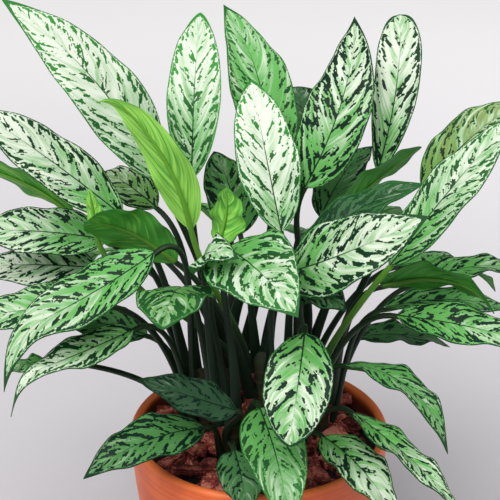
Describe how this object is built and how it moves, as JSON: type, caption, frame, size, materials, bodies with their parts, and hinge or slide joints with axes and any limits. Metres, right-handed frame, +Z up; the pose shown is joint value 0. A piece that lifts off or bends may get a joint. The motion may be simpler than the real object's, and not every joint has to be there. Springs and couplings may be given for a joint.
{
  "type": "potted chinese evergreen",
  "caption": "Bushy Chinese evergreen with long stalked, silver and green patterned leaves, growing from short canes in a soil-filled round terracotta pot.",
  "frame": {"origin": "centre of the pot's flat base, on the surface that it stands on", "axes": "+Z up along the pot's axis; -Y is the plant's front; +X is to its right seen from the front"},
  "size_m": [0.4498, 0.4109, 0.5085],
  "materials": {
    "terracotta": "satin",
    "soil": "matte",
    "bark": "matte",
    "cane": "satin",
    "leaf": "satin"
  },
  "bodies": {
    "root": {"pot": "terracotta", "soil": "soil", "bark_mulch": "bark", "cane_1": "cane", "cane_2": "cane", "cane_3": "cane", "cane_4": "cane", "cane_5": "cane", "cane_6": "cane", "cane_7": "cane", "leaf_01": "leaf", "leaf_02": "leaf", "leaf_03": "leaf", "leaf_04": "leaf", "leaf_05": "leaf", "leaf_06": "leaf", "leaf_07": "leaf", "leaf_08": "leaf", "leaf_09": "leaf", "leaf_10": "leaf", "leaf_11": "leaf", "leaf_12": "leaf", "leaf_13": "leaf", "leaf_14": "leaf", "leaf_15": "leaf", "leaf_16": "leaf", "leaf_17": "leaf", "leaf_18": "leaf", "leaf_19": "leaf", "leaf_20": "leaf", "leaf_21": "leaf", "leaf_22": "leaf", "leaf_23": "leaf", "leaf_24": "leaf", "leaf_25": "leaf", "leaf_26": "leaf", "leaf_27": "leaf", "leaf_28": "leaf", "leaf_29": "leaf", "leaf_30": "leaf", "leaf_31": "leaf", "leaf_32": "leaf", "leaf_33": "leaf", "leaf_34": "leaf", "leaf_35": "leaf", "leaf_36": "leaf", "leaf_37": "leaf", "leaf_38": "leaf", "leaf_39": "leaf", "leaf_40": "leaf", "leaf_41": "leaf", "leaf_42": "leaf", "leaf_43": "leaf", "leaf_44": "leaf", "leaf_45": "leaf", "leaf_46": "leaf", "leaf_47": "leaf", "leaf_48": "leaf", "leaf_49": "leaf", "leaf_50": "leaf"}
  },
  "joints": []
}
